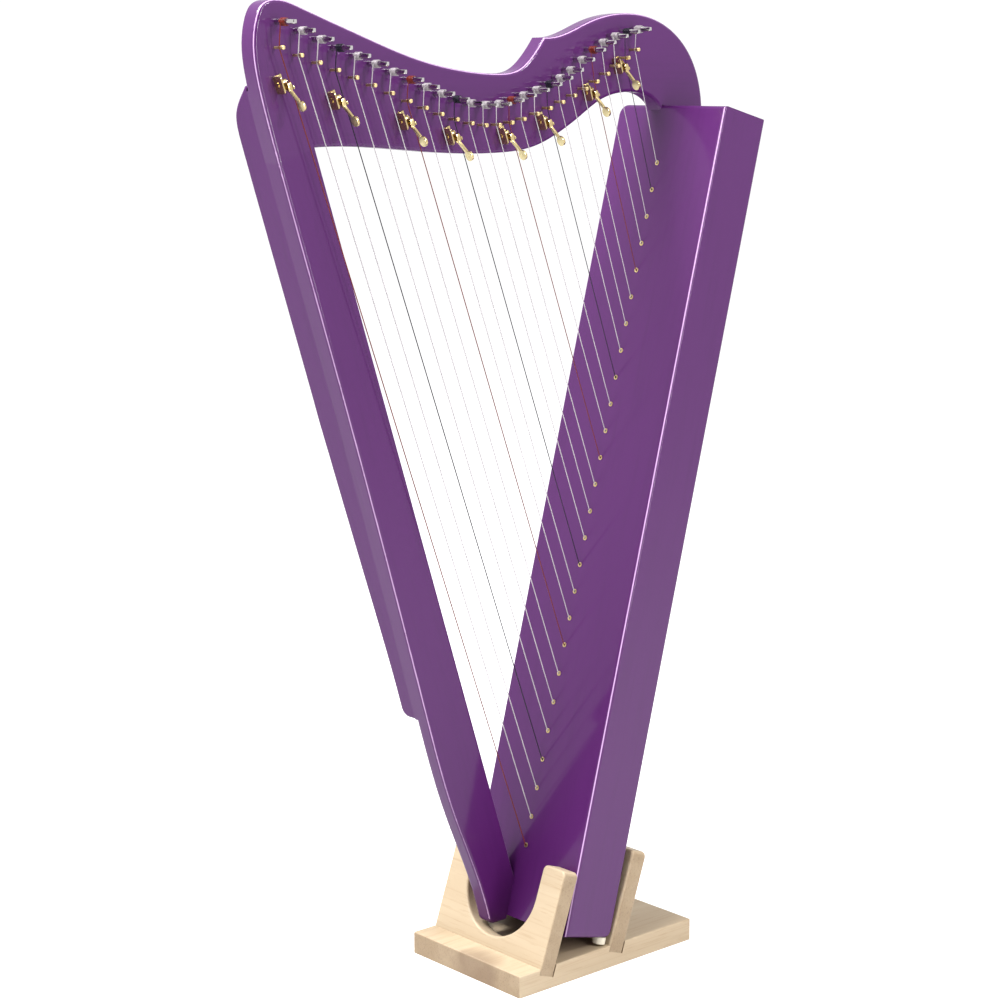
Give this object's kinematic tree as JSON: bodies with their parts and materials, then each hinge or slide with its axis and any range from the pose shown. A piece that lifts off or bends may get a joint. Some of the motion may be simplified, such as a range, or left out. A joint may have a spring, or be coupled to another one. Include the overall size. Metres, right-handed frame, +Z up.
{
  "type": "small lever harp on a stand",
  "caption": "Small lap harp with a slanted soundbox, curved neck, straight pillar, turning tuning pins and flip-up sharpening levers, standing in a two-fork wooden stand.",
  "frame": {"origin": "centre of the underside of the stand's base plate", "axes": "+Z up, +X from the pillar towards the soundbox, +Y away from the side with the pins and levers"},
  "size_m": [0.4999, 0.144, 0.8423],
  "materials": {
    "purple_lacquer": "gloss purple lacquer over wood",
    "pale_wood": "clear satin finish on pale maple",
    "inner_wood": "unfinished wood",
    "polished_brass": "polished",
    "pin_steel": "nickel plated",
    "screw_steel": "plain",
    "string_clear": "translucent nylon",
    "string_red": "red nylon",
    "string_dark": "dark blue nylon",
    "bumper_cream": "cream rubber"
  },
  "bodies": {
    "stand": {"stand_base": "pale_wood", "stand_front_fork": "pale_wood", "stand_rear_fork": "pale_wood", "stand_screws": "screw_steel"},
    "harp": {"neck": "purple_lacquer", "pillar": "purple_lacquer", "pillar_backer": "purple_lacquer", "frame_dowels": "inner_wood", "soundboard": "purple_lacquer", "soundbox_near_side": "purple_lacquer", "soundbox_far_side": "purple_lacquer", "soundbox_back": "purple_lacquer", "soundbox_top_block": "purple_lacquer", "soundbox_foot_block": "purple_lacquer", "string_rib": "inner_wood", "back_braces": "inner_wood", "string_eyelets": "polished_brass", "strings_natural": "string_clear", "strings_red": "string_red", "strings_dark": "string_dark", "bridge_pins": "polished_brass", "lever_brackets": "polished_brass", "lever_screws": "polished_brass", "lever_axles": "polished_brass", "base_bumpers": "bumper_cream"},
    "lever_01": {"lever_01": "polished_brass"},
    "lever_02": {"lever_02": "polished_brass"},
    "lever_03": {"lever_03": "polished_brass"},
    "lever_04": {"lever_04": "polished_brass"},
    "lever_05": {"lever_05": "polished_brass"},
    "lever_06": {"lever_06": "polished_brass"},
    "lever_07": {"lever_07": "polished_brass"},
    "lever_08": {"lever_08": "polished_brass"},
    "tuning_pin_01": {"tuning_pin_01": "pin_steel"},
    "tuning_pin_02": {"tuning_pin_02": "pin_steel"},
    "tuning_pin_03": {"tuning_pin_03": "pin_steel"},
    "tuning_pin_04": {"tuning_pin_04": "pin_steel"},
    "tuning_pin_05": {"tuning_pin_05": "pin_steel"},
    "tuning_pin_06": {"tuning_pin_06": "pin_steel"},
    "tuning_pin_07": {"tuning_pin_07": "pin_steel"},
    "tuning_pin_08": {"tuning_pin_08": "pin_steel"},
    "tuning_pin_09": {"tuning_pin_09": "pin_steel"},
    "tuning_pin_10": {"tuning_pin_10": "pin_steel"},
    "tuning_pin_11": {"tuning_pin_11": "pin_steel"},
    "tuning_pin_12": {"tuning_pin_12": "pin_steel"},
    "tuning_pin_13": {"tuning_pin_13": "pin_steel"},
    "tuning_pin_14": {"tuning_pin_14": "pin_steel"},
    "tuning_pin_15": {"tuning_pin_15": "pin_steel"},
    "tuning_pin_16": {"tuning_pin_16": "pin_steel"},
    "tuning_pin_17": {"tuning_pin_17": "pin_steel"},
    "tuning_pin_18": {"tuning_pin_18": "pin_steel"},
    "tuning_pin_19": {"tuning_pin_19": "pin_steel"},
    "tuning_pin_20": {"tuning_pin_20": "pin_steel"},
    "tuning_pin_21": {"tuning_pin_21": "pin_steel"},
    "tuning_pin_22": {"tuning_pin_22": "pin_steel"},
    "tuning_pin_23": {"tuning_pin_23": "pin_steel"},
    "tuning_pin_24": {"tuning_pin_24": "pin_steel"},
    "tuning_pin_25": {"tuning_pin_25": "pin_steel"},
    "tuning_pin_26": {"tuning_pin_26": "pin_steel"}
  },
  "joints": [
    {"name": "harp_lift", "type": "slide", "parent": "stand", "child": "harp", "axis": [0.284, 0, 0.9588], "range_m": [0, 0.11]},
    {"name": "lever_01_flip", "type": "hinge", "parent": "harp", "child": "lever_01", "pos_m": [-0.28268, 0.0042, 0.7799], "axis": [-0.9385, 0, -0.3453], "range_deg": [0, 90]},
    {"name": "lever_02_flip", "type": "hinge", "parent": "harp", "child": "lever_02", "pos_m": [-0.23043, 0.0042, 0.76762], "axis": [-0.9385, 0, -0.3453], "range_deg": [0, 90]},
    {"name": "lever_03_flip", "type": "hinge", "parent": "harp", "child": "lever_03", "pos_m": [-0.16056, 0.0042, 0.75072], "axis": [-0.9385, 0, -0.3453], "range_deg": [0, 90]},
    {"name": "lever_04_flip", "type": "hinge", "parent": "harp", "child": "lever_04", "pos_m": [-0.1113, 0.0042, 0.73792], "axis": [-0.9385, 0, -0.3453], "range_deg": [0, 90]},
    {"name": "lever_05_flip", "type": "hinge", "parent": "harp", "child": "lever_05", "pos_m": [-0.0517, 0.0042, 0.73738], "axis": [-0.9385, 0, -0.3453], "range_deg": [0, 90]},
    {"name": "lever_06_flip", "type": "hinge", "parent": "harp", "child": "lever_06", "pos_m": [-0.0076, 0.0042, 0.74847], "axis": [-0.9432, 0, -0.3322], "range_deg": [0, 90]},
    {"name": "lever_07_flip", "type": "hinge", "parent": "harp", "child": "lever_07", "pos_m": [0.04678, 0.0042, 0.77255], "axis": [-0.9521, 0, -0.3057], "range_deg": [0, 90]},
    {"name": "lever_08_flip", "type": "hinge", "parent": "harp", "child": "lever_08", "pos_m": [0.08319, 0.0042, 0.79548], "axis": [-0.9583, 0, -0.2857], "range_deg": [0, 90]},
    {"name": "tuning_pin_01_turn", "type": "hinge", "parent": "harp", "child": "tuning_pin_01", "pos_m": [-0.2883, 0, 0.82486], "axis": [0, 1, 0], "continuous": true},
    {"name": "tuning_pin_02_turn", "type": "hinge", "parent": "harp", "child": "tuning_pin_02", "pos_m": [-0.27026, 0, 0.81849], "axis": [0, 1, 0], "continuous": true},
    {"name": "tuning_pin_03_turn", "type": "hinge", "parent": "harp", "child": "tuning_pin_03", "pos_m": [-0.25225, 0, 0.81201], "axis": [0, 1, 0], "continuous": true},
    {"name": "tuning_pin_04_turn", "type": "hinge", "parent": "harp", "child": "tuning_pin_04", "pos_m": [-0.23422, 0, 0.80563], "axis": [0, 1, 0], "continuous": true},
    {"name": "tuning_pin_05_turn", "type": "hinge", "parent": "harp", "child": "tuning_pin_05", "pos_m": [-0.21615, 0, 0.79947], "axis": [0, 1, 0], "continuous": true},
    {"name": "tuning_pin_06_turn", "type": "hinge", "parent": "harp", "child": "tuning_pin_06", "pos_m": [-0.19799, 0, 0.79338], "axis": [0, 1, 0], "continuous": true},
    {"name": "tuning_pin_07_turn", "type": "hinge", "parent": "harp", "child": "tuning_pin_07", "pos_m": [-0.17973, 0, 0.78717], "axis": [0, 1, 0], "continuous": true},
    {"name": "tuning_pin_08_turn", "type": "hinge", "parent": "harp", "child": "tuning_pin_08", "pos_m": [-0.16195, 0, 0.78094], "axis": [0, 1, 0], "continuous": true},
    {"name": "tuning_pin_09_turn", "type": "hinge", "parent": "harp", "child": "tuning_pin_09", "pos_m": [-0.14549, 0, 0.77519], "axis": [0, 1, 0], "continuous": true},
    {"name": "tuning_pin_10_turn", "type": "hinge", "parent": "harp", "child": "tuning_pin_10", "pos_m": [-0.12922, 0, 0.76978], "axis": [0, 1, 0], "continuous": true},
    {"name": "tuning_pin_11_turn", "type": "hinge", "parent": "harp", "child": "tuning_pin_11", "pos_m": [-0.11321, 0, 0.76504], "axis": [0, 1, 0], "continuous": true},
    {"name": "tuning_pin_12_turn", "type": "hinge", "parent": "harp", "child": "tuning_pin_12", "pos_m": [-0.09755, 0, 0.76171], "axis": [0, 1, 0], "continuous": true},
    {"name": "tuning_pin_13_turn", "type": "hinge", "parent": "harp", "child": "tuning_pin_13", "pos_m": [-0.08201, 0, 0.7603], "axis": [0, 1, 0], "continuous": true},
    {"name": "tuning_pin_14_turn", "type": "hinge", "parent": "harp", "child": "tuning_pin_14", "pos_m": [-0.0672, 0, 0.76112], "axis": [0, 1, 0], "continuous": true},
    {"name": "tuning_pin_15_turn", "type": "hinge", "parent": "harp", "child": "tuning_pin_15", "pos_m": [-0.05296, 0, 0.76405], "axis": [0, 1, 0], "continuous": true},
    {"name": "tuning_pin_16_turn", "type": "hinge", "parent": "harp", "child": "tuning_pin_16", "pos_m": [-0.03911, 0, 0.768], "axis": [0, 1, 0], "continuous": true},
    {"name": "tuning_pin_17_turn", "type": "hinge", "parent": "harp", "child": "tuning_pin_17", "pos_m": [-0.02423, 0, 0.7724], "axis": [0, 1, 0], "continuous": true},
    {"name": "tuning_pin_18_turn", "type": "hinge", "parent": "harp", "child": "tuning_pin_18", "pos_m": [-0.00989, 0, 0.77719], "axis": [0, 1, 0], "continuous": true},
    {"name": "tuning_pin_19_turn", "type": "hinge", "parent": "harp", "child": "tuning_pin_19", "pos_m": [0.00286, 0, 0.78249], "axis": [0, 1, 0], "continuous": true},
    {"name": "tuning_pin_20_turn", "type": "hinge", "parent": "harp", "child": "tuning_pin_20", "pos_m": [0.01521, 0, 0.78904], "axis": [0, 1, 0], "continuous": true},
    {"name": "tuning_pin_21_turn", "type": "hinge", "parent": "harp", "child": "tuning_pin_21", "pos_m": [0.02849, 0, 0.79786], "axis": [0, 1, 0], "continuous": true},
    {"name": "tuning_pin_22_turn", "type": "hinge", "parent": "harp", "child": "tuning_pin_22", "pos_m": [0.04137, 0, 0.80628], "axis": [0, 1, 0], "continuous": true},
    {"name": "tuning_pin_23_turn", "type": "hinge", "parent": "harp", "child": "tuning_pin_23", "pos_m": [0.05385, 0, 0.81269], "axis": [0, 1, 0], "continuous": true},
    {"name": "tuning_pin_24_turn", "type": "hinge", "parent": "harp", "child": "tuning_pin_24", "pos_m": [0.06838, 0, 0.81822], "axis": [0, 1, 0], "continuous": true},
    {"name": "tuning_pin_25_turn", "type": "hinge", "parent": "harp", "child": "tuning_pin_25", "pos_m": [0.08259, 0, 0.82206], "axis": [0, 1, 0], "continuous": true},
    {"name": "tuning_pin_26_turn", "type": "hinge", "parent": "harp", "child": "tuning_pin_26", "pos_m": [0.09652, 0, 0.82452], "axis": [0, 1, 0], "continuous": true}
  ]
}
